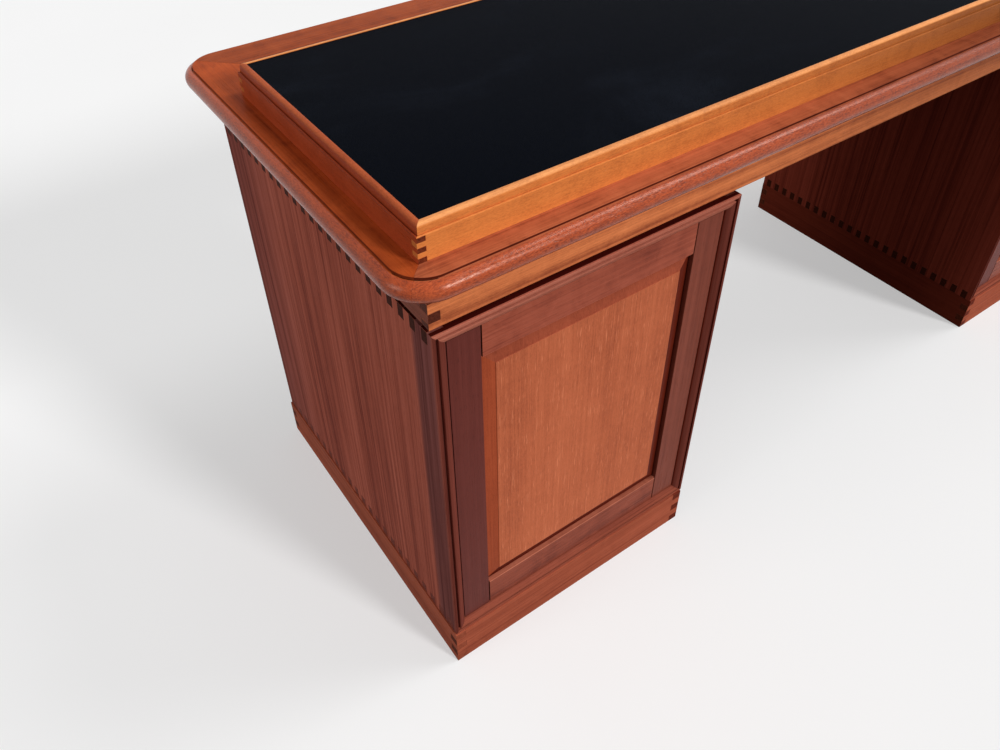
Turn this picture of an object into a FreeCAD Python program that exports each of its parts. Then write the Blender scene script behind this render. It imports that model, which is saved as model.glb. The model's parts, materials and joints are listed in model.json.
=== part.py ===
import FreeCAD, Part
import Sketcher
import math
import os
import re

# A pedestal desk with a leather writing surface, used from both long sides.
# X runs along the desk, the near side faces -Y and Z is up.
# The origin is on the floor, under the middle of the top.

SIZES = {
    # Pedestals and kneehole
    "pedestal_width": 434,
    "pedestal_depth": 547,
    "pedestal_height": 638.5,
    "kneehole_width": 808,
    "board_thickness": 18,
    "divider_thickness": 15,
    # Moulded edge round each cupboard opening
    "door_recess": 6,
    "ovolo_width": 10.5,
    "quirk_width": 3.5,
    "quirk_depth": 4,
    # Finger joints between the pedestal boards, mitred behind the moulded edge
    "mitre_depth": 8,
    "finger_land": 2,
    "finger_width": 11.7,
    "finger_pitch": 23.4,
    # Plinths
    "plinth_height": 70,
    "plinth_thickness": 16,
    "plinth_proud": 2,
    "plinth_offset": 2,
    "plinth_fingers": 5,
    # Doors
    "door_gap": 1.2,
    "door_thickness": 20,
    "stile_width": 41.5,
    "rail_top_height": 46,
    "rail_bottom_height": 50,
    "joint_line_width": 1.5,
    "joint_line_depth": 3,
    "groove_front": 7,
    "groove_width": 6,
    "groove_depth": 9,
    "panel_clearance": 0.5,
    "tongue_clearance": 0.1,
    "bevel_width": 19,
    "field_step": 0.8,
    "field_recess": 1,
    # Door pivots and catches
    "pivot_inset": 20,
    "pivot_depth": 6,
    "pivot_plate_length": 22,
    "pivot_plate_width": 8,
    "pivot_plate_thickness": 3,
    "socket_plate_thickness": 4,
    "pin_diameter": 5,
    "pin_clearance": 0.1,
    "pin_end_room": 0.3,
    "catch_flange_length": 46,
    "catch_length": 30,
    "catch_height": 12,
    "catch_flange_thickness": 2.5,
    "catch_depth": 14,
    "catch_clearance": 0.4,
    # Apron
    "apron_height": 61.5,
    "apron_thickness": 14,
    "apron_inset_end": 1,
    "apron_inset_front": 6.5,
    "apron_fingers": 5,
    "shadow_gap_height": 4,
    "shadow_gap_depth": 6,
    # Top boards
    "top_overhang_end": 40,
    "top_overhang_front": 29.5,
    "top_overhang_back": 22.5,
    "top_board_width": 160,
    "nose_thickness": 24,
    "nose_flat": 0.6,
    "top_step": 3,
    "step_inset": 12,
    "corner_radius": 50,
    # Raised lip, core and leather
    "lip_inset": 36,
    "ledge_width": 150,
    "lip_thickness": 9.6,
    "lip_height": 30,
    "lip_arris": 1.4,
    "lip_quirk": 1.2,
    "lip_fingers": 5,
    "bead_setback": 3,
    "bead_height": 10.8,
    "bead_radius": 4.5,
    "leather_thickness": 1.6,
    "leather_drop": 0.8,
}

# Lengths worked out from the sizes
TOP_LENGTH = "(2*pedestal_width + kneehole_width + 2*top_overhang_end)"
TOP_DEPTH = "(top_overhang_front + pedestal_depth + top_overhang_back)"
PEDESTAL_X = "((kneehole_width + pedestal_width)/2)"
PEDESTAL_Y = "((top_overhang_front - top_overhang_back)/2)"
NOSE_BASE = "(pedestal_height + apron_height)"
STEP_BASE = f"({NOSE_BASE} + nose_thickness)"
FLAT_LEVEL = f"({STEP_BASE} + top_step)"
EDGE_FLAT = "(board_thickness - quirk_width - ovolo_width)"
OVOLO_RADIUS = "((ovolo_width*ovolo_width + door_recess*door_recess)/(2*door_recess))"
FINGER_COUNT = (
    "(floor((pedestal_depth - 2*mitre_depth - 2*finger_land - finger_width)/finger_pitch) + 1)"
)
FINGER_START = f"(-(({FINGER_COUNT} - 1)*finger_pitch + finger_width)/2)"
DOOR_WIDTH = "(pedestal_width - 2*board_thickness - 2*door_gap)"
DOOR_BASE = "(plinth_height + board_thickness + door_gap)"
DOOR_HEIGHT = "(pedestal_height - plinth_height - 2*board_thickness - 2*door_gap)"
RAIL_LENGTH = f"({DOOR_WIDTH} - 2*stile_width)"
PIVOT_X = f"({DOOR_WIDTH}/2 - pivot_inset)"
LIP_LENGTH = f"({TOP_LENGTH} - 2*lip_inset)"
LIP_DEPTH = f"({TOP_DEPTH} - lip_inset - ledge_width)"
LIP_Y = "((lip_inset - ledge_width)/2)"
LIP_JOINT = "(lip_height - lip_quirk)"
CORE_HEIGHT = "(lip_height + bead_height - leather_drop - leather_thickness)"

doc = FreeCAD.newDocument("desk")
sheet = doc.addObject("Spreadsheet::Sheet", "sizes")
for row, (alias, size) in enumerate(SIZES.items(), 1):
    sheet.set(f"A{row}", alias.replace("_", " "))
    sheet.set(f"B{row}", str(size))
    sheet.setAlias(f"B{row}", alias)
doc.recompute()

nodes = []


def formula(text):
    """Turn words that name a size into references to the sheet."""
    return re.sub(r"[a-z_]+", lambda word: f"sizes.{word[0]}" if word[0] in SIZES else word[0], text)


def measure(text):
    """Work a formula out as a number, in millimetres."""
    return float(sheet.evalExpression(formula(text)))


def bind(thing, target, text):
    thing.setExpression(target, formula(text))


def place(thing, x="0", y="0", z="0", turn=0, axis=(0, 0, 1)):
    """Turn a piece about an axis and put it at a point that follows the sizes."""
    thing.Placement = FreeCAD.Placement(FreeCAD.Vector(), FreeCAD.Rotation(FreeCAD.Vector(*axis), turn))
    for letter, text in zip("xyz", (x, y, z)):
        bind(thing, f"Placement.Base.{letter}", text)


def finished(thing, label):
    """Name a piece of the desk, which is written out under that name."""
    thing.Label = label
    nodes.append(thing)
    return thing


def new_body(label):
    return doc.addObject("PartDesign::Body", label)


def origin_part(body, role):
    return next(part for part in body.Origin.OriginFeatures if part.Role == role)


def new_sketch(body, role, offset="0"):
    """Start a sketch on an origin plane of the body, moved along the plane's normal."""
    sketch = body.newObject("Sketcher::SketchObject", f"{body.Name}_sketch")
    sketch.AttachmentSupport = [(origin_part(body, role), "")]
    sketch.MapMode = "FlatFace"
    bind(sketch, "AttachmentOffset.Base.z", offset)
    return sketch


def constrain(sketch, kind, text, *where):
    number = sketch.addConstraint(Sketcher.Constraint(kind, *where, measure(text)))
    bind(sketch, f"Constraints[{number}]", text)


def arc_edge(start, end, radius):
    """The short arc from start to end that turns anticlockwise."""
    chord = end - start
    half = chord.Length / 2
    left = FreeCAD.Vector(-chord.y, chord.x, 0).normalize()
    centre = (start + end) / 2 + left * math.sqrt(max(radius * radius - half * half, 0))
    circle = Part.Circle(centre, FreeCAD.Vector(0, 0, 1), radius)
    return Part.ArcOfCircle(circle, circle.parameter(start), circle.parameter(end))


def outline(sketch, corners):
    """Draw a closed line through the corners. A third entry rounds the way to the next corner."""
    first = sketch.GeometryCount
    points = [FreeCAD.Vector(measure(x), measure(y), 0) for x, y, *_ in corners]
    for place_in_list, (x, y, *radius) in enumerate(corners):
        start = points[place_in_list]
        end = points[(place_in_list + 1) % len(points)]
        if radius:
            sketch.addGeometry(arc_edge(start, end, measure(radius[0])))
        else:
            sketch.addGeometry(Part.LineSegment(start, end))
    for place_in_list, (x, y, *radius) in enumerate(corners):
        edge = first + place_in_list
        following = first + (place_in_list + 1) % len(corners)
        sketch.addConstraint(Sketcher.Constraint("Coincident", edge, 2, following, 1))
        constrain(sketch, "DistanceX", x, -1, 1, edge, 1)
        constrain(sketch, "DistanceY", y, -1, 1, edge, 1)
        if radius:
            constrain(sketch, "Radius", radius[0], edge)


def rectangle(sketch, x_low, x_high, y_low, y_high):
    outline(sketch, [(x_low, y_low), (x_high, y_low), (x_high, y_high), (x_low, y_high)])


def rounded_rectangle(sketch, length, depth, radius):
    x, y = f"({length}/2)", f"({depth}/2)"
    outline(sketch, [
        (f"-{x} + {radius}", f"-{y}"),
        (f"{x} - {radius}", f"-{y}", radius),
        (x, f"-{y} + {radius}"),
        (x, f"{y} - {radius}", radius),
        (f"{x} - {radius}", y),
        (f"-{x} + {radius}", y, radius),
        (f"-{x}", f"{y} - {radius}"),
        (f"-{x}", f"-{y} + {radius}", radius),
    ])


def plate_outline(sketch, x, y):
    """Outline of a pivot plate, centred on the pivot."""
    length, width = "pivot_plate_length/2", "pivot_plate_width/2"
    rectangle(sketch, f"{x} - {length}", f"{x} + {length}", f"{y} - {width}", f"{y} + {width}")


def circle_at(sketch, x, y, diameter):
    number = sketch.addGeometry(
        Part.Circle(FreeCAD.Vector(measure(x), measure(y), 0), FreeCAD.Vector(0, 0, 1), measure(diameter) / 2)
    )
    constrain(sketch, "DistanceX", x, -1, 1, number, 3)
    constrain(sketch, "DistanceY", y, -1, 1, number, 3)
    constrain(sketch, "Diameter", diameter, number)


def add_feature(body, kind, name):
    feature = body.newObject(f"PartDesign::{kind}", f"{body.Name}_{name}")
    body.Tip = feature
    return feature


def pad(body, sketch, length, both_ways=False):
    feature = add_feature(body, "Pad", "pad")
    feature.Profile = sketch
    feature.Midplane = both_ways
    bind(feature, "Length", length)
    return feature


def pocket(body, sketch, length=None, reverse=False):
    """Cut along the sketch's normal to a depth, or right through both ways."""
    feature = add_feature(body, "Pocket", "pocket")
    feature.Profile = sketch
    feature.Reversed = reverse
    if length:
        bind(feature, "Length", length)
    else:
        feature.Type = "ThroughAll"
        feature.Midplane = True
    return feature


def repeat(body, feature, role, spacing, count):
    pattern = add_feature(body, "LinearPattern", "pattern")
    pattern.Originals = [feature]
    pattern.Direction = (origin_part(body, role), [""])
    pattern.Mode = "Spacing"
    bind(pattern, "Offset", spacing)
    bind(pattern, "Occurrences", count)
    body.Tip = pattern


def mirror(body, feature, role):
    copy = add_feature(body, "Mirrored", "mirrored")
    copy.Originals = [feature]
    copy.MirrorPlane = (origin_part(body, role), [""])
    body.Tip = copy


def box_body(label, x_low, x_high, y_low, y_high, base, height):
    body = new_body(label)
    sketch = new_sketch(body, "XY_Plane", base)
    rectangle(sketch, x_low, x_high, y_low, y_high)
    pad(body, sketch, height)
    return body


def moulded_section(sketch, swap, outside, inside_sign):
    """Section of a pedestal board, moulded along the cupboard side of both front edges.

    The board runs from its outside face inwards, and the second axis follows the depth.
    """
    def corner(across, along, *radius):
        across = f"{outside} + {inside_sign}*({across})"
        return (along, across, *radius) if swap else (across, along, *radius)

    front, back = "-pedestal_depth/2", "pedestal_depth/2"
    quirk_end = f"{EDGE_FLAT} + quirk_width"
    corners = [
        corner("0", front),
        corner(EDGE_FLAT, front),
        corner(EDGE_FLAT, f"{front} + quirk_depth"),
        corner(quirk_end, f"{front} + quirk_depth"),
        corner(quirk_end, front, OVOLO_RADIUS),
        corner("board_thickness", f"{front} + door_recess"),
        corner("board_thickness", f"{back} - door_recess", OVOLO_RADIUS),
        corner(quirk_end, back),
        corner(quirk_end, f"{back} - quirk_depth"),
        corner(EDGE_FLAT, f"{back} - quirk_depth"),
        corner(EDGE_FLAT, back),
        corner("0", back),
    ]
    outline(sketch, corners)


def cut_mitres(body, triangles):
    """Cut the share of the neighbour out of the moulded corners, at the front and the back."""
    sketch = new_sketch(body, "XZ_Plane", "pedestal_depth/2")
    for triangle in triangles:
        outline(sketch, triangle)
    mirror(body, pocket(body, sketch, "mitre_depth"), "XZ_Plane")


def pedestal_side(label):
    """An upright board, notched at both ends for the fingers of the pedestal's top and bottom."""
    body = new_body(label)
    outside = "-pedestal_width/2"
    inside = f"{outside} + board_thickness"
    section = new_sketch(body, "XY_Plane", "plinth_height")
    moulded_section(section, False, outside, 1)
    pad(body, section, "pedestal_height - plinth_height")
    notches = new_sketch(body, "YZ_Plane")
    finger = (FINGER_START, f"{FINGER_START} + finger_width")
    rectangle(notches, *finger, "pedestal_height - board_thickness", "pedestal_height")
    rectangle(notches, *finger, "plinth_height", "plinth_height + board_thickness")
    repeat(body, pocket(body, notches), "Y_Axis", "finger_pitch", FINGER_COUNT)
    low, high = "plinth_height", "pedestal_height"
    cut_mitres(body, [
        [(outside, high), (inside, f"{high} - board_thickness"), (inside, high)],
        [(outside, low), (inside, low), (inside, f"{low} + board_thickness")],
    ])
    return finished(body, label)


def pedestal_board(label):
    """The top or bottom of a pedestal: outside face at height 0, moulded below it, fingers at both ends."""
    body = new_body(label)
    section = new_sketch(body, "YZ_Plane")
    moulded_section(section, True, "0", -1)
    pad(body, section, "pedestal_width", both_ways=True)
    end, root = "pedestal_width/2", "(pedestal_width/2 - board_thickness)"
    gaps = new_sketch(body, "XY_Plane")
    lands = new_sketch(body, "XY_Plane")
    for x_low, x_high in ((f"-{end}", f"-{root}"), (root, end)):
        rectangle(gaps, x_low, x_high, f"{FINGER_START} + finger_width", f"{FINGER_START} + finger_pitch")
        rectangle(lands, x_low, x_high, "-pedestal_depth/2 + mitre_depth", FINGER_START)
        rectangle(lands, x_low, x_high, f"-{FINGER_START}", "pedestal_depth/2 - mitre_depth")
    repeat(body, pocket(body, gaps), "Y_Axis", "finger_pitch", f"{FINGER_COUNT} - 1")
    pocket(body, lands)
    cut_mitres(body, [
        [(f"-{end}", "0"), (f"-{end}", "-board_thickness"), (f"-{root}", "-board_thickness")],
        [(end, "0"), (root, "-board_thickness"), (end, "-board_thickness")],
    ])
    recesses = new_sketch(body, "XY_Plane", "-board_thickness")
    for way in "-+":
        plate_outline(recesses, f"-{PIVOT_X}", f"{way}(pedestal_depth/2 - door_recess - pivot_depth)")
    pocket(body, recesses, "socket_plate_thickness", reverse=True)
    return finished(body, label)


def square_section(thickness, height):
    return [("0", "0"), (thickness, "0"), (thickness, height), ("0", height)]


def apron_section():
    """Square section, rebated along the lower outer edge to leave a dark line over the pedestals."""
    return [
        ("shadow_gap_depth", "0"),
        ("apron_thickness", "0"),
        ("apron_thickness", "apron_height"),
        ("0", "apron_height"),
        ("0", "shadow_gap_height"),
        ("shadow_gap_depth", "shadow_gap_height"),
    ]


def lip_section():
    """Upright face, rounded arris, quirk, and a bead that stands above the leather."""
    top = "(lip_height + bead_height)"
    return [
        ("0", "0"),
        ("lip_thickness", "0"),
        ("lip_thickness", top),
        ("bead_setback + bead_radius", top, "bead_radius"),
        ("bead_setback", f"{top} - bead_radius"),
        ("bead_setback", LIP_JOINT),
        ("bead_setback - lip_quirk", LIP_JOINT),
        ("bead_setback - lip_quirk", "lip_height"),
        ("lip_arris", "lip_height", "lip_arris"),
        ("0", "lip_height - lip_arris"),
    ]


def frame_board(label, section, length, thickness, joint_height, fingers, keeps_lowest,
                mitre_height, rebate):
    """A board of a four-board frame: outside face at y = 0, fingers cut into both ends, mitred above them."""
    body = new_body(label)
    profile = new_sketch(body, "YZ_Plane")
    outline(profile, section)
    pad(body, profile, length, both_ways=True)
    step = f"{joint_height}/{fingers}"
    low, count = (step, f"floor({fingers}/2)") if keeps_lowest else ("0", f"ceil({fingers}/2)")
    end, root = f"{length}/2", f"({length}/2 - {thickness})"
    notches = new_sketch(body, "XZ_Plane")
    rectangle(notches, f"-{end}", f"-{root}", low, f"{low} + {step}")
    rectangle(notches, root, end, low, f"{low} + {step}")
    repeat(body, pocket(body, notches), "Z_Axis", f"2*{step}", count)
    if mitre_height:
        mitres = new_sketch(body, "XY_Plane", joint_height)
        outline(mitres, [(f"-{end}", "0"), (f"-{root}", thickness), (f"-{end}", thickness)])
        outline(mitres, [(end, "0"), (end, thickness), (root, thickness)])
        pocket(body, mitres, mitre_height, reverse=True)
    if rebate and keeps_lowest:
        depth, height = rebate
        ends = new_sketch(body, "XY_Plane")
        rectangle(ends, f"-{end}", f"-({end} - {depth})", "0", thickness)
        rectangle(ends, f"{end} - {depth}", end, "0", thickness)
        pocket(body, ends, height, reverse=True)
    return finished(body, label)


def board_frame(prefix, centre, length, depth, section, thickness, joint_height, fingers,
                front_keeps_lowest, mitre_height=None, rebate=None):
    """Four boards round a rectangle: front, right, back and left."""
    x, y, z = centre
    sides = (
        ("front", length, x, f"{y} - {depth}/2", 0),
        ("right", depth, f"{x} + {length}/2", y, 90),
        ("back", length, x, f"{y} + {depth}/2", 180),
        ("left", depth, f"{x} - {length}/2", y, 270),
    )
    for name, run, board_x, board_y, turn in sides:
        keeps_lowest = front_keeps_lowest == (name in ("front", "back"))
        board = frame_board(
            f"{prefix}_{name}", section, run, thickness, joint_height, fingers, keeps_lowest,
            mitre_height, rebate,
        )
        place(board, board_x, board_y, z, turn)


def top_boards():
    """Four boards with a bullnose and a stepped upper face, mitred at the rounded corners."""
    blank = new_body("top_blank")
    nose = new_sketch(blank, "XY_Plane", NOSE_BASE)
    rounded_rectangle(nose, TOP_LENGTH, TOP_DEPTH, "corner_radius")
    nose_pad = pad(blank, nose, "nose_thickness")
    doc.recompute()
    levels = (measure(NOSE_BASE), measure(STEP_BASE))
    rims = [
        f"Edge{number}"
        for number, edge in enumerate(nose_pad.Shape.Edges, 1)
        if any(abs(edge.BoundBox.ZMin - z) + abs(edge.BoundBox.ZMax - z) < 1e-6 for z in levels)
    ]
    bullnose = add_feature(blank, "Fillet", "bullnose")
    bullnose.Base = (nose_pad, rims)
    bind(bullnose, "Radius", "(nose_thickness - nose_flat)/2")
    flat = new_sketch(blank, "XY_Plane", STEP_BASE)
    flat_length, flat_depth = f"({TOP_LENGTH} - 2*step_inset)", f"({TOP_DEPTH} - 2*step_inset)"
    rounded_rectangle(flat, flat_length, flat_depth, "(corner_radius - step_inset)")
    pad(blank, flat, "top_step")
    opening = new_sketch(blank, "XY_Plane", NOSE_BASE)
    inner_x, inner_y = f"({TOP_LENGTH}/2 - top_board_width)", f"({TOP_DEPTH}/2 - top_board_width)"
    rectangle(opening, f"-{inner_x}", inner_x, f"-{inner_y}", inner_y)
    pocket(blank, opening)
    end, edge = f"{TOP_LENGTH}/2", f"{TOP_DEPTH}/2"
    mitre_end = f"({end} - {edge})"
    shares = {
        "front": [(f"-{end}", f"-{edge}"), (end, f"-{edge}"), (mitre_end, "0"), (f"-{mitre_end}", "0")],
        "right": [(end, f"-{edge}"), (end, edge), (mitre_end, "0")],
        "back": [(end, edge), (f"-{end}", edge), (f"-{mitre_end}", "0"), (mitre_end, "0")],
        "left": [(f"-{end}", edge), (f"-{end}", f"-{edge}"), (f"-{mitre_end}", "0")],
    }
    for name, corners in shares.items():
        share = new_body(f"top_share_{name}")
        plan = new_sketch(share, "XY_Plane", NOSE_BASE)
        outline(plan, corners)
        pad(share, plan, "nose_thickness + top_step")
        board = doc.addObject("Part::Common", f"top_board_{name}")
        board.Base = blank
        board.Tool = share
        finished(board, f"top_board_{name}")


def stile(label, side, pivoted):
    """Upright of a door frame, grooved for the panel. The outer edge is on the given side (-1 or 1)."""
    body = new_body(label)
    outer, inner = f"{side}*({DOOR_WIDTH}/2)", f"{side}*({DOOR_WIDTH}/2 - stile_width)"
    groove = f"{side}*({DOOR_WIDTH}/2 - stile_width + groove_depth)"
    section = new_sketch(body, "XY_Plane")
    outline(section, [
        (outer, "0"),
        (inner, "0"),
        (inner, "groove_front"),
        (groove, "groove_front"),
        (groove, "groove_front + groove_width"),
        (inner, "groove_front + groove_width"),
        (inner, "door_thickness"),
        (outer, "door_thickness"),
    ])
    pad(body, section, DOOR_HEIGHT)
    if pivoted:
        for level, upwards in (("0", True), (DOOR_HEIGHT, False)):
            recess = new_sketch(body, "XY_Plane", level)
            plate_outline(recess, f"{side}*{PIVOT_X}", "pivot_depth")
            pocket(body, recess, "pivot_plate_thickness", reverse=upwards)
    return finished(body, label)


def rail(label, low, high, inner_is_high):
    """Crosspiece of a door frame, grooved for the panel, with a stub tenon in each stile's groove.

    A narrow line is left open between its front and the stiles.
    """
    body = new_body(label)
    inner, outer = (high, low) if inner_is_high else (low, high)
    groove = f"{inner} - groove_depth" if inner_is_high else f"{inner} + groove_depth"
    groove_back = "groove_front + groove_width"
    section = new_sketch(body, "YZ_Plane")
    outline(section, [
        ("0", outer),
        ("door_thickness", outer),
        ("door_thickness", inner),
        (groove_back, inner),
        (groove_back, groove),
        ("groove_front", groove),
        ("groove_front", inner),
        ("0", inner),
    ])
    pad(body, section, RAIL_LENGTH, both_ways=True)
    tenon = new_sketch(body, "YZ_Plane")
    rectangle(tenon, "groove_front", groove_back, *sorted((outer, groove), key=measure))
    pad(body, tenon, f"{RAIL_LENGTH} + 2*groove_depth", both_ways=True)
    lines = new_sketch(body, "XZ_Plane")
    end, line = f"({RAIL_LENGTH}/2)", f"({RAIL_LENGTH}/2 - joint_line_width)"
    rectangle(lines, f"-{end}", f"-{line}", low, high)
    rectangle(lines, line, end, low, high)
    pocket(body, lines, "joint_line_depth")
    return finished(body, label)


def panel(label):
    """Raised and fielded panel: a tongue in the frame's groove, a bevel, a step and a flat field."""
    body = new_body(label)
    half = f"({RAIL_LENGTH}/2)"
    low, high = "rail_bottom_height", f"({DOOR_HEIGHT} - rail_top_height)"

    def inset_rectangle(sketch, inset):
        rectangle(
            sketch, f"-({half} - {inset})", f"{half} - {inset}", f"{low} + {inset}", f"{high} - {inset}"
        )

    back = "groove_front + groove_width - tongue_clearance"
    tongue = new_sketch(body, "XZ_Plane", f"-({back})")
    inset_rectangle(tongue, "(panel_clearance - groove_depth)")
    pad(body, tongue, "groove_width - 2*tongue_clearance")
    foot = new_sketch(body, "XZ_Plane", "-(groove_front + tongue_clearance)")
    inset_rectangle(foot, "panel_clearance")
    crown = new_sketch(body, "XZ_Plane", "-(field_recess + field_step)")
    inset_rectangle(crown, "bevel_width")
    bevel = add_feature(body, "AdditiveLoft", "bevel")
    bevel.Profile = foot
    bevel.Sections = [crown]
    bevel.Ruled = True
    field = new_sketch(body, "XZ_Plane", "-(field_recess + field_step)")
    inset_rectangle(field, "bevel_width")
    pad(body, field, "field_step")
    return finished(body, label)


def pivot_plate(name, x, level, upwards):
    """A plate let into the end of a stile, with the pin that the door turns on."""
    body = new_body(name)
    flat = new_sketch(body, "XY_Plane", level)
    plate_outline(flat, x, "pivot_depth")
    pad(body, flat, "pivot_plate_thickness").Reversed = upwards
    end = new_sketch(body, "XY_Plane", level)
    circle_at(end, x, "pivot_depth", "pin_diameter")
    pad(body, end, "door_gap + socket_plate_thickness - pin_end_room").Reversed = not upwards
    return body


def pivot_pins(label, side):
    """The two pin plates of a door, at the bottom and the top of its hinge stile."""
    x = f"{side}*{PIVOT_X}"
    pins = doc.addObject("Part::Compound", label)
    pins.Links = [
        pivot_plate(f"{label}_low", x, "0", False),
        pivot_plate(f"{label}_high", x, DOOR_HEIGHT, True),
    ]
    return finished(pins, label)


def door(prefix, side, x, y, turn):
    """A frame-and-panel door hung on its given side, with its front face at y = 0 before it is turned."""
    high = f"({DOOR_HEIGHT} - rail_top_height)"
    pieces = [
        stile(f"{prefix}_hinge_stile", side, True),
        stile(f"{prefix}_latch_stile", -side, False),
        rail(f"{prefix}_top_rail", high, DOOR_HEIGHT, False),
        rail(f"{prefix}_bottom_rail", "0", "rail_bottom_height", True),
        panel(f"{prefix}_panel"),
        pivot_pins(f"{prefix}_pivot_pins", side),
    ]
    for piece in pieces:
        place(piece, x, y, DOOR_BASE, turn)


def bush(name, x, y, z):
    """A plate let into a pedestal board, bored for a door pin."""
    body = new_body(name)
    flat = new_sketch(body, "XY_Plane")
    plate_outline(flat, "0", "0")
    circle_at(flat, "0", "0", "(pin_diameter + 2*pin_clearance)")
    pad(body, flat, "socket_plate_thickness")
    place(body, x, y, z)
    return body


def catch(name, x, y, turn):
    """A magnet housing with two screw ears, fixed under the pedestal top behind the latch stile."""
    body = new_body(name)
    front = new_sketch(body, "XZ_Plane")
    outline(front, [
        ("-catch_flange_length/2", "0"),
        ("-catch_flange_length/2", "-catch_flange_thickness"),
        ("-catch_length/2", "-catch_flange_thickness"),
        ("-catch_length/2", "-catch_height"),
        ("catch_length/2", "-catch_height"),
        ("catch_length/2", "-catch_flange_thickness"),
        ("catch_flange_length/2", "-catch_flange_thickness"),
        ("catch_flange_length/2", "0"),
    ])
    housing = pad(body, front, "catch_depth")
    housing.Reversed = True
    place(body, x, y, "pedestal_height - board_thickness", turn)
    return body


def group(label, pieces):
    whole = doc.addObject("Part::Compound", label)
    whole.Links = pieces
    return finished(whole, label)


def pedestals():
    """Both pedestals: four joined boards, a divider, a plinth, two doors and the parts they turn on."""
    bushes = []
    catches = []
    for hand, way in (("left", -1), ("right", 1)):
        x = f"{way}*{PEDESTAL_X}"
        turn = 0 if hand == "left" else 180
        place(pedestal_side(f"pedestal_{hand}_outer_side"), x, PEDESTAL_Y, "0", turn)
        place(pedestal_side(f"pedestal_{hand}_inner_side"), x, PEDESTAL_Y, "0", 180 - turn)
        place(pedestal_board(f"pedestal_{hand}_top"), x, PEDESTAL_Y, "pedestal_height", turn)
        lower_axis = (1, 0, 0) if hand == "left" else (0, 1, 0)
        place(pedestal_board(f"pedestal_{hand}_bottom"), x, PEDESTAL_Y, "plinth_height", 180, lower_axis)
        half_inside = "(pedestal_width/2 - board_thickness)"
        divider = box_body(
            f"pedestal_{hand}_divider", f"-{half_inside}", half_inside,
            "-divider_thickness/2", "divider_thickness/2",
            "plinth_height + board_thickness", "pedestal_height - plinth_height - 2*board_thickness",
        )
        place(finished(divider, divider.Name), x, PEDESTAL_Y)
        board_frame(
            f"plinth_{hand}", (f"{x} + {way}*plinth_offset", PEDESTAL_Y, "0"),
            "pedestal_width", "(pedestal_depth + 2*plinth_proud)",
            square_section("plinth_thickness", "plinth_height"), "plinth_thickness", "plinth_height",
            "plinth_fingers", front_keeps_lowest=False,
        )
        for face, face_way, face_turn in (("front", -1, 0), ("back", 1, 180)):
            prefix = f"door_{face}_{hand}"
            face_y = f"{PEDESTAL_Y} + {face_way}*(pedestal_depth/2 - door_recess)"
            door(prefix, way * -face_way, x, face_y, face_turn)
            pivot_x = f"{x} + {way}*{PIVOT_X}"
            pivot_y = f"{PEDESTAL_Y} + {face_way}*(pedestal_depth/2 - door_recess - pivot_depth)"
            high = "pedestal_height - board_thickness"
            low = "plinth_height + board_thickness - socket_plate_thickness"
            bushes.append(bush(f"{prefix}_high_bush", pivot_x, pivot_y, high))
            bushes.append(bush(f"{prefix}_low_bush", pivot_x, pivot_y, low))
            catch_x = f"{x} - {way}*({DOOR_WIDTH}/2 - catch_flange_length/2)"
            catch_y = f"{face_y} - {face_way}*(door_thickness + catch_clearance)"
            catches.append(catch(f"{prefix}_catch", catch_x, catch_y, face_turn))
    group("pivot_bushes", bushes)
    group("magnetic_catches", catches)


def writing_surface():
    """Core board inside the lip, with the leather laid on it."""
    half, near = f"({LIP_LENGTH}/2 - lip_thickness)", f"({LIP_Y} - {LIP_DEPTH}/2 + lip_thickness)"
    far = f"({LIP_Y} + {LIP_DEPTH}/2 - lip_thickness)"
    core = box_body("writing_core", f"-{half}", half, near, far, FLAT_LEVEL, CORE_HEIGHT)
    finished(core, "writing_core")
    leather_base = f"{FLAT_LEVEL} + {CORE_HEIGHT}"
    leather = box_body("writing_leather", f"-{half}", half, near, far, leather_base, "leather_thickness")
    finished(leather, "writing_leather")


pedestals()
board_frame(
    "apron", ("0", PEDESTAL_Y, "pedestal_height"),
    "(kneehole_width + 2*pedestal_width - 2*apron_inset_end)", "(pedestal_depth - 2*apron_inset_front)",
    apron_section(), "apron_thickness", "apron_height", "apron_fingers", front_keeps_lowest=True,
    rebate=("shadow_gap_depth", "shadow_gap_height"),
)
top_boards()
board_frame(
    "lip", ("0", LIP_Y, FLAT_LEVEL), LIP_LENGTH, LIP_DEPTH, lip_section(), "lip_thickness", LIP_JOINT,
    "lip_fingers", front_keeps_lowest=False, mitre_height="(bead_height + lip_quirk)",
)
writing_surface()
doc.recompute()

failed = [thing.Label for thing in doc.Objects if {"Invalid", "Error"} & set(thing.State)]
if failed:
    raise RuntimeError(f"these objects failed: {failed}")
for thing in doc.Objects:
    if thing.TypeId == "PartDesign::Pocket" and thing.Shape.Volume > thing.BaseFeature.Shape.Volume - 1e-3:
        raise RuntimeError(f"{thing.Label} cuts nothing")
for node in nodes:
    if node.Shape.isNull() or not node.Shape.isValid():
        raise RuntimeError(f"{node.Label} has no sound shape")

os.makedirs("parts", exist_ok=True)
for node in nodes:
    node.Shape.exportStep(f"parts/{node.Label}.step")
print(len(nodes), "pieces written")
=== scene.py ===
"""Looks of a partners desk: polished wood, leather and brass in a pale studio, from the photo's camera."""
import json
import math

import bpy
from mathutils import Matrix, Vector


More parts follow.
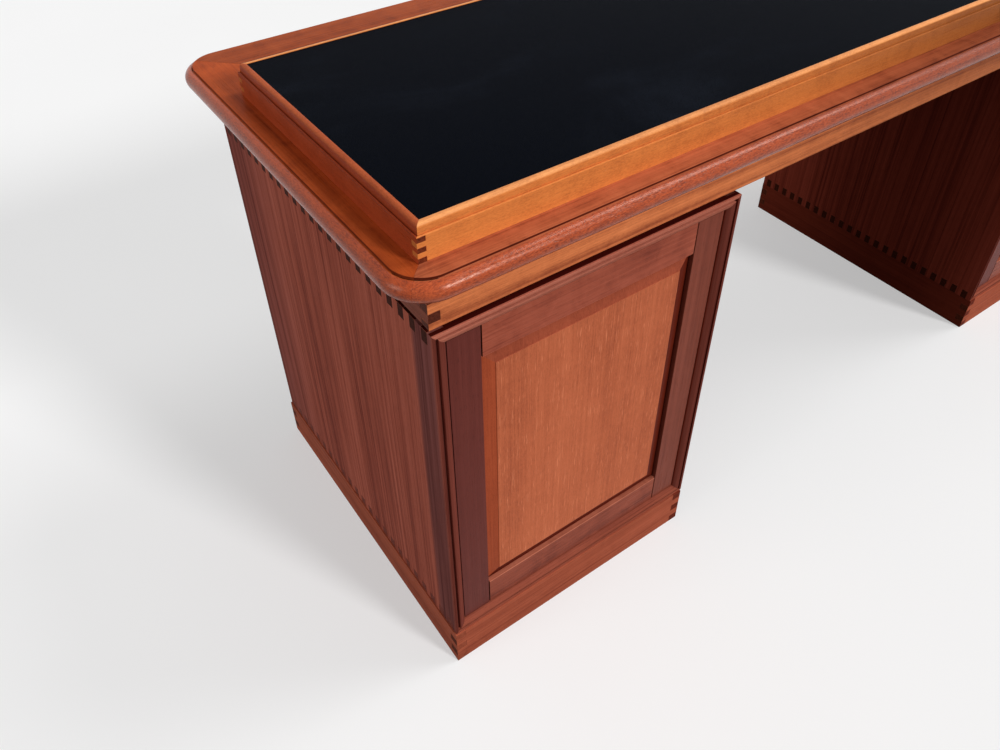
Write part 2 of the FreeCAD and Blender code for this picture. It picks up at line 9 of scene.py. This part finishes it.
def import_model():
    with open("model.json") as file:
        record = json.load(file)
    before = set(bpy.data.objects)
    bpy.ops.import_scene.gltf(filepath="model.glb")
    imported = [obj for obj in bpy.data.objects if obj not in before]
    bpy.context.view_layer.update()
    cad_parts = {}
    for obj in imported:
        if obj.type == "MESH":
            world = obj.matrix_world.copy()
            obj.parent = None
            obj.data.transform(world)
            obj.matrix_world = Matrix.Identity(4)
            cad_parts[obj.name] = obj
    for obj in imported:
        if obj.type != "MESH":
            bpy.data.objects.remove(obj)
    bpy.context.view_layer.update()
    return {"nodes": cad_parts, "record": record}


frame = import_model()
nodes = frame["nodes"]
scene = bpy.context.scene
scene.view_settings.view_transform = "Standard"

X, Y, Z = 0, 1, 2
WHITE = (1, 1, 1, 1)

# Places on the desk, in metres along the frame's axes
NOSE_CROWN, QUIRK_CROWN = 0.7239, 0.7266
BEAD_FOOT, BEAD_CROWN = 0.7585, 0.770
PEDESTAL_TOP = (0.638, 0.640)
LEDGE_SHADE_REACH = (-0.2675, 0.2745)
FRONT_BAND, FRONT_BAND_SOFT = (-0.268, -0.228), 0.005
REAR_SHADE_PART, REAR_SHADE_SOFT = (0.18, 0.40), 0.09
PAINTED_FALLOFF_REACH = (-0.6, 0.15)
BEVEL_REACH = 0.0276
ARRIS_HIGHLIGHT_WIDTH = 0.0014
EDGE_WIDTH = 0.0004
UNDERSIDE = -0.9

# Painted light falloff: how much of its brightness a front board keeps at its right end
FRONT_PAINTED_FALLOFF = 0.62
LIP_PAINTED_FALLOFF = 0.434

# Studio
FLOOR_HALF = 9.0
FLOOR_GLOW = 0.45
FLOOR_BOUNCE = (0.06, 0.06, 0.06, 1)
WORLD_LEVEL = 0.30
SUNS = (
    # Name, place that it shines from, power, spread in degrees
    ("key", (0.31, -0.82, 0.48), 2.2, 11),
    ("softbox", (0.63, -0.18, 0.75), 1.0, 24),
    ("fill", (-0.95, 0.10, 0.30), 0.85, 30),
)

# Camera, fitted to the photo's edges
CAMERA_PLACE = (-1.130789, -0.811176, 1.203713)
CAMERA_RIGHT = (0.81808846, -0.57501596, -0.00937596)
CAMERA_UP = (0.38210085, 0.53129464, 0.75612496)
CAMERA_BACK = (-0.42980252, -0.62215967, 0.6543601)
CAMERA_LENS = 30.759
CAMERA_SHIFT = -0.0652

# Middle tones of the boards, as 8-bit display colours; several also paint light or shade, as said beside
# them
END_GRAIN = (66, 28, 17)
LIP_LONG = (218, 126, 64)
LIP_SHORT = (166, 68, 36)
LIP_END = (112, 48, 28)
# Bead tones: a paler tone on the upward faces of the lip's bead, a painted highlight
BEAD_HIGHLIGHT_LONG = (236, 156, 96)
BEAD_HIGHLIGHT_SHORT = (186, 92, 54)
TOP_FRONT = (174, 90, 58)
# The back board's darker tone partly paints the dimmer light towards the back of the top
TOP_BACK_TONE_AND_SHADE = (152, 68, 33)
TOP_SHORT = (168, 72, 32)
# Quirk tones: the steep step wall between flat and nose painted dark, a painted shade
TOP_QUIRK_SHADE = (84, 28, 16)
TOP_QUIRK_SHADE_SHORT = (112, 44, 22)
NOSE_FRONT = (170, 72, 36)
NOSE_BACK = (140, 60, 32)
NOSE_SHORT = (164, 66, 30)
APRON_LONG = (224, 128, 78)
# The short apron boards' darker tone is partly painted shade under the overhanging nose
APRON_SHORT_TONE_AND_SHADE = (134, 70, 52)
APRON_END = (96, 46, 32)
SIDE = (170, 89, 71)
SIDE_BAND = (122, 68, 62)
# Rear part of the left outer side painted darker, a painted shade
SIDE_REAR_SHADE = (138, 72, 62)
# Front and back edges of the sides painted darker, a painted shade
SIDE_EDGE_SHADE = (110, 53, 43)
# Inner sides: a darker tone that mostly paints the kneehole's shade
INNER_SIDE_TONE_AND_SHADE = (128, 52, 38)
# The pedestal top's tone, raised partly to paint the highlight on its ovolo moulding
MOULD_TOP_TONE_AND_HIGHLIGHT = (178, 102, 82)
MOULD_BOTTOM = (144, 74, 56)
BOTTOM_END = (122, 60, 48)
# Top face of a pedestal in front of the apron painted dark: painted shade in the recess under the apron
LEDGE_SHADE = (66, 16, 11)
PLINTH = (168, 86, 62)
# Plinth boards facing the kneehole: a darker tone that mostly paints the kneehole's shade
INNER_PLINTH_TONE_AND_SHADE = (112, 44, 30)
PLINTH_END = (92, 42, 28)
LEFT_STILE = (102, 47, 40)
RIGHT_STILE = (128, 64, 49)
TOP_RAIL = (160, 80, 60)
BOTTOM_RAIL = (146, 72, 53)
# Pale line along the bottom rail's top arris, a painted highlight
ARRIS_HIGHLIGHT = (196, 116, 90)
PANEL = (194, 104, 70)
PANEL_TOP = (164, 80, 56)
# Bottom bevel: darker end grain with painted shade on top
PANEL_BOTTOM_END_GRAIN_AND_SHADE = (92, 30, 18)
PANEL_LEFT = (172, 80, 50)
# Right bevel: a painted shadow of the right stile
PANEL_RIGHT_SHADOW = (100, 34, 20)
DIVIDER = (150, 84, 62)
CORE = (176, 138, 96)

# Linear tint of the polish on the bullnose
WARM_GLOSS = (1.0, 0.8, 0.68, 1.0)


# Colours and shader graphs


def linear(red, green, blue):
    """Linear colour of an 8-bit display colour."""
    def one(value):
        value /= 255
        return value / 12.92 if value <= 0.04045 else ((value + 0.055) / 1.055) ** 2.4
    return (one(red), one(green), one(blue), 1.0)


def shades(middle):
    """Dark, middle and light shade of a wood from its middle display colour; the dark is redder."""
    red, green, blue = middle
    dark = (red * 0.72, green * 0.64, blue * 0.66)
    light = (min(255, red * 1.13), green * 1.19, blue * 1.22)
    return linear(*dark), linear(*middle), linear(*light)


def fibre_shade(middle):
    """Shade of the short pale fibres in a wood."""
    red, green, blue = middle
    return linear(min(255, red * 1.2), green * 1.35, blue * 1.45)


class Graph:
    """A material's node tree with short calls for the nodes that the finishes use."""

    def __init__(self, name):
        self.material = bpy.data.materials.new(name)
        self.material.use_nodes = True
        self.tree = self.material.node_tree
        self.shader = self.tree.nodes["Principled BSDF"]

    def node(self, kind, **settings):
        made = self.tree.nodes.new(kind)
        for key, value in settings.items():
            setattr(made, key, value)
        return made

    def feed(self, socket, value):
        if isinstance(value, bpy.types.NodeSocket):
            self.tree.links.new(value, socket)
        else:
            socket.default_value = value

    def math(self, operation, *values, clamp=False):
        made = self.node("ShaderNodeMath", operation=operation, use_clamp=clamp)
        for socket, value in zip(made.inputs, values):
            self.feed(socket, value)
        return made.outputs[0]

    def vector(self, operation, *values):
        made = self.node("ShaderNodeVectorMath", operation=operation)
        for socket, value in zip(made.inputs, values):
            self.feed(socket, value)
        return made.outputs[0]

    def noise(self, place, detail, roughness, distortion=0.0):
        made = self.node("ShaderNodeTexNoise")
        self.feed(made.inputs["Vector"], place)
        made.inputs["Scale"].default_value = 1.0
        made.inputs["Detail"].default_value = detail
        made.inputs["Roughness"].default_value = roughness
        made.inputs["Distortion"].default_value = distortion
        return made.outputs["Fac"]

    def span(self, value, low, high, to_low=0.0, to_high=1.0):
        made = self.node("ShaderNodeMapRange", interpolation_type="SMOOTHSTEP")
        for socket, entry in zip(made.inputs, (value, low, high, to_low, to_high)):
            self.feed(socket, entry)
        return made.outputs[0]

    def ramp(self, value, *stops):
        made = self.node("ShaderNodeValToRGB")
        points = made.color_ramp.elements
        while len(points) < len(stops):
            points.new(0.5)
        for point, (place, colour) in zip(points, stops):
            point.position = place
            point.color = colour
        self.feed(made.inputs["Fac"], value)
        return made.outputs["Color"]

    def mix(self, amount, first, second, blend="MIX"):
        made = self.node("ShaderNodeMix", data_type="RGBA", blend_type=blend)
        self.feed(made.inputs["Factor"], amount)
        self.feed(made.inputs["A"], first)
        self.feed(made.inputs["B"], second)
        return made.outputs["Result"]

    def bump(self, height, distance, strength):
        made = self.node("ShaderNodeBump")
        made.inputs["Strength"].default_value = strength
        made.inputs["Distance"].default_value = distance
        self.feed(made.inputs["Height"], height)
        self.feed(self.shader.inputs["Normal"], made.outputs["Normal"])

    def set(self, **values):
        for key, value in values.items():
            self.feed(self.shader.inputs[key.replace("_", " ")], value)


# Tests for the part of a board that a mark covers


def within(axis, low, high, soft=0.0004):
    """A test for the part of a board between two places along an axis."""
    def mask(graph, at, facing):
        return graph.math(
            "MULTIPLY",
            graph.span(at.outputs[axis], low - soft, low + soft),
            graph.span(at.outputs[axis], high + soft, high - soft),
        )
    return mask


def turned(axis, low, high, sign=0):
    """A test for faces that are turned to an axis, either way or to the one of the given sign."""
    def mask(graph, at, facing):
        share = facing.outputs[axis]
        share = graph.math("MULTIPLY", share, sign) if sign else graph.math("ABSOLUTE", share)
        return graph.span(share, low, high)
    return mask


def nearer(axis, edge, other, other_edge, soft=0.0003):
    """A test for the side of a mitre that is nearer to one edge than to the other one."""
    def mask(graph, at, facing):
        here = graph.math("ABSOLUTE", graph.math("SUBTRACT", at.outputs[axis], edge))
        there = graph.math("ABSOLUTE", graph.math("SUBTRACT", at.outputs[other], other_edge))
        return graph.span(graph.math("SUBTRACT", there, here), -soft, soft)
    return mask


STEEP = turned(Z, 0.75, 0.6)
LEANING_UP = turned(Z, 0.2, 0.7, 1)
LEVEL_UP = turned(Z, 0.8, 0.95, 1)
TO_LONG_SIDES = turned(Y, 0.5, 0.7)


# Finishes


def wood(
    name, grain, tone, seed,
    streak=0.4, broad=0.4, fine=0.3, fleck=0.5, figure=0.2, speck=0.0, dash=0.0,
    rough=0.30, gloss=0.03, gloss_tint=WHITE,
    end=1.0, end_tone=END_GRAIN, marks=(), painted_falloff=1.0,
):
    """Polished hardwood whose fibres run along one axis, with dark pores and darker end grain.

    streak to dash say how clearly each kind of figure shows, and end how far the end grain does.
    marks are pairs of tests and a tone that the board has where all of the tests hold; some marks paint
    shade, a shadow or a highlight.
    The last argument paints a light falloff: it is the share of its brightness that the board keeps at its
    right end.
    """
    graph = Graph(name)
    coordinates = graph.node("ShaderNodeTexCoord")
    at = graph.node("ShaderNodeSeparateXYZ")
    graph.feed(at.inputs[0], coordinates.outputs["Object"])
    facing = graph.node("ShaderNodeSeparateXYZ")
    graph.feed(facing.inputs[0], coordinates.outputs["Normal"])
    offset = (seed * 1.37 % 7, seed * 2.11 % 5, seed * 0.73 % 3)
    place = graph.vector("ADD", coordinates.outputs["Object"], offset)

    def stretched(across, along):
        scale = [across] * 3
        scale[grain] = along
        return graph.vector("MULTIPLY", place, tuple(scale))

    def centred(value, share):
        return graph.math("MULTIPLY", graph.math("SUBTRACT", value, 0.5), share)

    wide = graph.noise(stretched(across=11, along=1.1), detail=3.0, roughness=0.55, distortion=0.4)
    bands = graph.noise(stretched(across=120, along=1.3), detail=4.0, roughness=0.6, distortion=0.25)
    lines = graph.noise(stretched(across=330, along=2.2), detail=3.0, roughness=0.6, distortion=0.15)
    ribbon = graph.noise(stretched(across=26, along=30), detail=3.0, roughness=0.6, distortion=0.8)
    fibres = graph.noise(stretched(across=620, along=12), detail=3.0, roughness=0.65)
    pores = graph.noise(stretched(across=1300, along=90), detail=2.0, roughness=0.6)
    specks = graph.noise(stretched(across=800, along=260), detail=2.0, roughness=0.7)

    level = graph.math("ADD", 0.5, centred(wide, 1.6 * broad))
    for value, share in (
        (bands, 2.2 * streak),
        (lines, 2.2 * fine),
        (ribbon, 1.2 * figure),
        (fibres, 0.9 * fleck),
        (specks, 1.6 * speck),
    ):
        level = graph.math("ADD", level, centred(value, share))

    def toned(middle):
        return graph.ramp(level, *zip((0.12, 0.5, 0.88), shades(middle)))

    open_pores = graph.span(pores, 0.56, 0.70)
    shade = graph.math("SUBTRACT", 1.0, graph.math("MULTIPLY", open_pores, 0.5 * fleck))
    # Painted light falloff: the board darkens towards its right end
    if painted_falloff != 1.0:
        shade = graph.math("MULTIPLY", shade, graph.span(at.outputs[X], *PAINTED_FALLOFF_REACH, 1.0, painted_falloff))
    shaded = graph.node("ShaderNodeCombineColor")
    for socket in shaded.inputs[:3]:
        graph.feed(socket, shade)
    colour = graph.mix(1.0, toned(tone), shaded.outputs[0], "MULTIPLY")
    if dash:
        dashes = graph.noise(stretched(across=850, along=42), detail=1.0, roughness=0.5)
        colour = graph.mix(graph.span(dashes, 0.64, 0.74, 0.0, dash), colour, fibre_shade(tone))

    cut = graph.span(graph.math("ABSOLUTE", facing.outputs[grain]), 0.72, 0.96, 0.0, end)
    rings = graph.noise(graph.vector("MULTIPLY", place, (380, 380, 380)), detail=3.0, roughness=0.7)
    end_dark, _, end_light = shades(end_tone)
    colour = graph.mix(cut, colour, graph.ramp(rings, (0.3, end_dark), (0.7, end_light)))
    # Marks lay a tone over the board; several paint shade, a shadow or a highlight
    for tests, mark_tone in marks:
        mask = tests[0](graph, at, facing)
        for test in tests[1:]:
            mask = graph.math("MULTIPLY", mask, test(graph, at, facing))
        colour = graph.mix(mask, colour, toned(mark_tone))

    smudge = graph.noise(graph.vector("MULTIPLY", place, (9, 9, 9)), detail=3.0, roughness=0.6)
    roughness = graph.math("ADD", rough, centred(fibres, 0.16))
    roughness = graph.math("ADD", roughness, centred(smudge, 0.14), clamp=True)
    height = graph.math("SUBTRACT", graph.math("MULTIPLY", fibres, 0.4), open_pores)
    height = graph.math("ADD", height, graph.math("MULTIPLY", specks, 2.0 * speck))
    graph.bump(height, distance=0.00008, strength=0.7)
    graph.set(Base_Color=colour, Roughness=roughness, Specular_IOR_Level=gloss, Specular_Tint=gloss_tint)
    return graph.material


def leather(name):
    """Smooth near-black hide with fine grain and faint scuffs."""
    graph = Graph(name)
    place = graph.node("ShaderNodeTexCoord").outputs["Object"]
    cells = graph.node("ShaderNodeTexVoronoi", feature="DISTANCE_TO_EDGE")
    graph.feed(cells.inputs["Vector"], place)
    cells.inputs["Scale"].default_value = 620
    cells.inputs["Randomness"].default_value = 0.9
    creases = graph.span(cells.outputs["Distance"], 0.0, 0.22)
    stretched = graph.vector("MULTIPLY", place, (3.2, 6.5, 1))
    cloud = graph.noise(stretched, detail=5.0, roughness=0.62, distortion=0.6)
    scuff = graph.span(cloud, 0.50, 0.78)
    colour = graph.ramp(scuff, (0.0, linear(4, 7, 16)), (1.0, linear(27, 31, 40)))
    colour = graph.mix(creases, linear(3, 5, 9), colour)
    roughness = graph.math("ADD", 0.50, graph.math("MULTIPLY", scuff, 0.12))
    fine = graph.noise(graph.vector("MULTIPLY", place, (900, 900, 900)), detail=2.0, roughness=0.6)
    height = graph.math("ADD", creases, graph.math("MULTIPLY", fine, 0.4))
    graph.bump(height, distance=0.00012, strength=0.6)
    graph.set(Base_Color=colour, Roughness=roughness, Specular_IOR_Level=0.008)
    return graph.material


def brass(name):
    """Plain turned brass, slightly dulled."""
    graph = Graph(name)
    place = graph.node("ShaderNodeTexCoord").outputs["Object"]
    rings = graph.noise(graph.vector("MULTIPLY", place, (60, 60, 2600)), detail=2.0, roughness=0.6)
    dull = graph.noise(graph.vector("MULTIPLY", place, (160, 160, 160)), detail=3.0, roughness=0.6)
    colour = graph.ramp(dull, (0.3, linear(150, 118, 62)), (0.7, linear(205, 170, 98)))
    graph.bump(rings, distance=0.00004, strength=0.5)
    graph.set(Base_Color=colour, Roughness=graph.span(dull, 0.2, 0.8, 0.24, 0.42), Metallic=1.0)
    return graph.material


def plastic(name):
    """Dark brown moulded plastic with a fine grain."""
    graph = Graph(name)
    place = graph.node("ShaderNodeTexCoord").outputs["Object"]
    grain = graph.noise(graph.vector("MULTIPLY", place, (1500, 1500, 1500)), detail=2.0, roughness=0.5)
    cloud = graph.noise(graph.vector("MULTIPLY", place, (90, 90, 90)), detail=2.0, roughness=0.5)
    colour = graph.ramp(cloud, (0.3, linear(46, 33, 27)), (0.7, linear(60, 44, 36)))
    graph.bump(grain, distance=0.00003, strength=0.5)
    graph.set(Base_Color=colour, Roughness=graph.span(grain, 0.2, 0.8, 0.42, 0.56))
    return graph.material


# A wood for each board: grain axis, middle tone and how lively it is


def panel_marks(panel):
    """The four bevels round a panel's field, each with its own tone: the bottom one's is darker end grain
    with painted shade on top, and the right one's is a painted shadow of the stile.
    """
    low = [min(corner[axis] for corner in panel.bound_box) for axis in (X, Y, Z)]
    high = [max(corner[axis] for corner in panel.bound_box) for axis in (X, Y, Z)]
    left, right = low[X], high[X]
    mitre_left = [nearer(X, left, Z, low[Z]), nearer(X, left, Z, high[Z])]
    mitre_right = [nearer(X, right, Z, low[Z]), nearer(X, right, Z, high[Z])]
    return [
        ([within(Z, high[Z] - BEVEL_REACH, high[Z])], PANEL_TOP),
        ([within(Z, low[Z], low[Z] + BEVEL_REACH)], PANEL_BOTTOM_END_GRAIN_AND_SHADE),
        ([within(X, left, left + BEVEL_REACH)] + mitre_left, PANEL_LEFT),
        ([within(X, right - BEVEL_REACH, right)] + mitre_right, PANEL_RIGHT_SHADOW),
    ]


def frame_wood(node):
    """Wood of a board in one of the four-board frames: the top, lip, apron and plinths."""
    last = node.split("_")[-1]
    is_long = last in ("front", "back")
    along = X if is_long else Y
    # Front boards get a painted light falloff towards their right end
    painted_falloff = FRONT_PAINTED_FALLOFF if last == "front" else 1.0
    if node.startswith("top_board"):
        # The back board's tone partly paints dimmer light at the back
        tone = {"front": TOP_FRONT, "back": TOP_BACK_TONE_AND_SHADE}.get(last, TOP_SHORT)
        # Painted shade on the steep step wall of the quirk
        quirk_shade = ([within(Z, NOSE_CROWN, QUIRK_CROWN), STEEP], TOP_QUIRK_SHADE if is_long else TOP_QUIRK_SHADE_SHORT)
        return along, tone, dict(broad=0.8, streak=0.5, figure=0.7, gloss=0.02, marks=[quirk_shade], painted_falloff=painted_falloff)
    if node.startswith("lip"):
        # Painted highlight: a paler tone on the upward faces of the bead
        bead_highlight = ([within(Z, BEAD_FOOT, BEAD_CROWN), LEANING_UP], BEAD_HIGHLIGHT_LONG if is_long else BEAD_HIGHLIGHT_SHORT)
        return along, LIP_LONG if is_long else LIP_SHORT, dict(
            streak=0.1, fine=0.05, fleck=0.25, figure=0.3, speck=0.3, end=0.35 if is_long else 1.0,
            end_tone=LIP_END, marks=[bead_highlight], painted_falloff=LIP_PAINTED_FALLOFF if last == "front" else 1.0,
        )
    if node.startswith("apron"):
        # The short boards' darker tone is partly painted shade under the nose
        return along, APRON_LONG if is_long else APRON_SHORT_TONE_AND_SHADE, dict(
            streak=0.45, fleck=0.4, figure=0.3, speck=0.2, gloss=0.01, end_tone=APRON_END, painted_falloff=painted_falloff,
        )
    # Plinth boards facing the kneehole get a darker tone that mostly paints its shade
    inner = node in ("plinth_right_left", "plinth_left_right")
    return along, INNER_PLINTH_TONE_AND_SHADE if inner else PLINTH, dict(
        streak=0.3, fleck=0.4, rough=0.5, gloss=0.005, end=1.0 if is_long else 0.3, end_tone=PLINTH_END,
    )


def pedestal_wood(node):
    """Wood of a pedestal's side, divider, top or bottom."""
    if node.endswith("_side"):
        # Painted shade: the front and back edges of every side are darker
        marks = [([TO_LONG_SIDES], SIDE_EDGE_SHADE)]
        if node == "pedestal_left_outer_side":
            # Painted shade: the rear part of the left outer side is darker
            rear_shade = ([within(Y, *REAR_SHADE_PART, REAR_SHADE_SOFT)], SIDE_REAR_SHADE)
            band = ([within(Y, *FRONT_BAND, FRONT_BAND_SOFT)], SIDE_BAND)
            marks = [rear_shade, band] + marks
        # Inner sides get a darker tone that mostly paints the kneehole's shade
        return Z, INNER_SIDE_TONE_AND_SHADE if "inner" in node else SIDE, dict(
            streak=0.6, broad=0.5, fine=0.45, figure=0.1, rough=0.55, gloss=0.005, marks=marks,
        )
    if node.endswith("_divider"):
        return Z, DIVIDER, dict(streak=0.5)
    if node.endswith("_top"):
        # Painted shade on the top face in front of the apron, in the recess under it
        ledge_shade = ([within(Z, *PEDESTAL_TOP), within(Y, *LEDGE_SHADE_REACH), LEVEL_UP], LEDGE_SHADE)
        # The top's tone is raised partly to paint the highlight on its moulding
        return X, MOULD_TOP_TONE_AND_HIGHLIGHT, dict(speck=0.3, rough=0.4, gloss=0.005, marks=[ledge_shade])
    end_tone = BOTTOM_END if "left" in node else END_GRAIN
    return X, MOULD_BOTTOM, dict(rough=0.4, gloss=0.005, end_tone=end_tone)


def door_wood(node, piece):
    """Wood of a door's stile, rail or panel."""
    if node.endswith("_stile"):
        is_left = ("hinge" in node) == ("_left_" in node)
        return Z, LEFT_STILE if is_left else RIGHT_STILE, dict(streak=0.25, fine=0.2)
    if node.endswith("_panel"):
        return Z, PANEL, dict(
            streak=0.12, broad=0.3, fine=0.15, fleck=0.4, speck=0.2, dash=0.6, gloss=0.01, end=0.2,
            marks=panel_marks(piece),
        )
    texture = dict(streak=0.3, broad=0.6, fine=0.2, figure=0.6)
    if node.endswith("top_rail"):
        return X, TOP_RAIL, texture
    top = max(corner[Z] for corner in piece.bound_box)
    # Painted highlight: a pale line along the rail's top arris
    arris_highlight = ([within(Z, top - ARRIS_HIGHLIGHT_WIDTH, top)], ARRIS_HIGHLIGHT)
    return X, BOTTOM_RAIL, dict(texture, marks=[arris_highlight])


def choose(node, piece):
    """Grain axis, tone and texture of a board by its name."""
    if node.startswith(("top_board", "lip", "apron", "plinth")):
        return frame_wood(node)
    if node.startswith("pedestal"):
        return pedestal_wood(node)
    if node.startswith("door"):
        return door_wood(node, piece)
    return X, CORE, dict(fleck=0.3)


def polish_nose(node, board, grain, seed, painted_falloff):
    """Gives the bullnose of a top board a glossier finish, as a second material."""
    last = node.split("_")[-1]
    tone = {"front": NOSE_FRONT, "back": NOSE_BACK}.get(last, NOSE_SHORT)
    # The nose keeps its board's painted light falloff
    board.data.materials.append(wood(
        f"nose_{last}", grain, tone, seed, figure=0.3, speck=1.1, rough=0.23, gloss=0.32,
        gloss_tint=WARM_GLOSS, end=0.0, painted_falloff=painted_falloff,
    ))
    for face in board.data.polygons:
        if face.center.z < NOSE_CROWN and face.normal.z > UNDERSIDE:
            face.material_index = 1


def smooth_faces():
    """Geometry nodes that shade a piece smooth."""
    group = bpy.data.node_groups.new("smooth_faces", "GeometryNodeTree")
    for way in ("INPUT", "OUTPUT"):
        group.interface.new_socket("Geometry", in_out=way, socket_type="NodeSocketGeometry")
    entry = group.nodes.new("NodeGroupInput")
    shade = group.nodes.new("GeometryNodeSetShadeSmooth")
    leave = group.nodes.new("NodeGroupOutput")
    group.links.new(entry.outputs[0], shade.inputs["Geometry"])
    group.links.new(shade.outputs[0], leave.inputs[0])
    return group


def ease_edges(piece, smoothing):
    """Rounds a piece's sharp edges a little, so that they catch the light and joints show as fine lines."""
    weld = piece.modifiers.new("weld", "WELD")
    weld.merge_threshold = 0.00001
    flat = piece.modifiers.new("flat", "DECIMATE")
    flat.decimate_type = "DISSOLVE"
    flat.angle_limit = math.radians(0.4)
    smooth = piece.modifiers.new("smooth", "NODES")
    smooth.node_group = smoothing
    edge = piece.modifiers.new("edge", "BEVEL")
    edge.width = EDGE_WIDTH
    edge.segments = 2
    edge.limit_method = "ANGLE"
    edge.angle_limit = math.radians(35)
    edge.use_clamp_overlap = False
    piece.modifiers.new("even", "WEIGHTED_NORMAL")


FINISHES = {
    "leather": leather("black_hide"),
    "brass": brass("turned_brass"),
    "catch": plastic("moulded_brown"),
}
slots = {entry["node"]: entry["material_slot"] for entry in frame["record"]["subparts"]}
smoothing = smooth_faces()
for seed, (node, piece) in enumerate(sorted(nodes.items()), 1):
    piece.data.materials.clear()
    if slots[node] in FINISHES:
        piece.data.materials.append(FINISHES[slots[node]])
    else:
        grain, tone, texture = choose(node, piece)
        piece.data.materials.append(wood(f"wood_{node}", grain, tone, seed, **texture))
        if node.startswith("top_board"):
            polish_nose(node, piece, grain, seed, texture["painted_falloff"])
    ease_edges(piece, smoothing)


# Studio: pale floor, soft light, camera at the photo's place


def floor():
    """A pale floor. The camera and reflections see it near white, with the desk's shadow on it."""
    mesh = bpy.data.meshes.new("floor")
    corners = [(x * FLOOR_HALF, y * FLOOR_HALF, 0) for x, y in ((-1, -1), (1, -1), (1, 1), (-1, 1))]
    mesh.from_pydata(corners, [], [(0, 1, 2, 3)])
    made = bpy.data.objects.new("floor", mesh)
    scene.collection.objects.link(made)
    graph = Graph("pale_floor")
    place = graph.node("ShaderNodeTexCoord").outputs["Object"]
    cloud = graph.noise(place, detail=3.0, roughness=0.5)
    pale = graph.ramp(cloud, (0.3, linear(247, 247, 247)), (0.7, linear(249, 249, 249)))
    dim = graph.node("ShaderNodeBsdfDiffuse")
    dim.inputs["Color"].default_value = FLOOR_BOUNCE
    bright = graph.node("ShaderNodeBsdfDiffuse")
    graph.feed(bright.inputs["Color"], pale)
    glow = graph.node("ShaderNodeEmission")
    graph.feed(glow.inputs["Color"], pale)
    shown = graph.node("ShaderNodeMixShader")
    shown.inputs[0].default_value = FLOOR_GLOW
    graph.feed(shown.inputs[1], bright.outputs[0])
    graph.feed(shown.inputs[2], glow.outputs[0])
    path = graph.node("ShaderNodeLightPath")
    seen = graph.math("MAXIMUM", path.outputs["Is Camera Ray"], path.outputs["Is Glossy Ray"])
    seen = graph.math("MAXIMUM", seen, path.outputs["Is Transmission Ray"])
    both = graph.node("ShaderNodeMixShader")
    graph.feed(both.inputs[0], seen)
    graph.feed(both.inputs[1], dim.outputs[0])
    graph.feed(both.inputs[2], shown.outputs[0])
    graph.feed(graph.tree.nodes["Material Output"].inputs["Surface"], both.outputs[0])
    mesh.materials.append(graph.material)


def sun(name, place, power, spread):
    """A soft sun that shines from a place towards the origin."""
    data = bpy.data.lights.new(name, "SUN")
    data.energy = power
    data.angle = math.radians(spread)
    made = bpy.data.objects.new(name, data)
    made.location = place
    made.rotation_mode = "QUATERNION"
    made.rotation_quaternion = (-Vector(place)).to_track_quat("-Z", "Y")
    made.visible_camera = False
    scene.collection.objects.link(made)


def world(level):
    """Even soft light that shows as white where the camera or a reflection sees past the floor."""
    made = bpy.data.worlds.new("studio")
    made.use_nodes = True
    tree = made.node_tree
    light = tree.nodes["Background"]
    light.inputs["Color"].default_value = WHITE
    light.inputs["Strength"].default_value = level
    white = tree.nodes.new("ShaderNodeBackground")
    white.inputs["Color"].default_value = WHITE
    white.inputs["Strength"].default_value = 1.0
    path = tree.nodes.new("ShaderNodeLightPath")
    seen = path.outputs["Is Camera Ray"]
    for other in ("Is Glossy Ray", "Is Transmission Ray"):
        most = tree.nodes.new("ShaderNodeMath")
        most.operation = "MAXIMUM"
        tree.links.new(seen, most.inputs[0])
        tree.links.new(path.outputs[other], most.inputs[1])
        seen = most.outputs[0]
    mix = tree.nodes.new("ShaderNodeMixShader")
    tree.links.new(seen, mix.inputs[0])
    tree.links.new(light.outputs[0], mix.inputs[1])
    tree.links.new(white.outputs[0], mix.inputs[2])
    tree.links.new(mix.outputs[0], tree.nodes["World Output"].inputs["Surface"])
    scene.world = made


def camera():
    """The photo's camera."""
    data = bpy.data.cameras.new("camera")
    data.sensor_width = 36
    data.lens = CAMERA_LENS
    data.shift_y = CAMERA_SHIFT
    data.clip_end = 100
    made = bpy.data.objects.new("camera", data)
    turn = Matrix((CAMERA_RIGHT, CAMERA_UP, CAMERA_BACK)).transposed().to_4x4()
    made.matrix_world = Matrix.Translation(CAMERA_PLACE) @ turn
    scene.collection.objects.link(made)
    scene.camera = made


floor()
world(WORLD_LEVEL)
for settings in SUNS:
    sun(*settings)
camera()
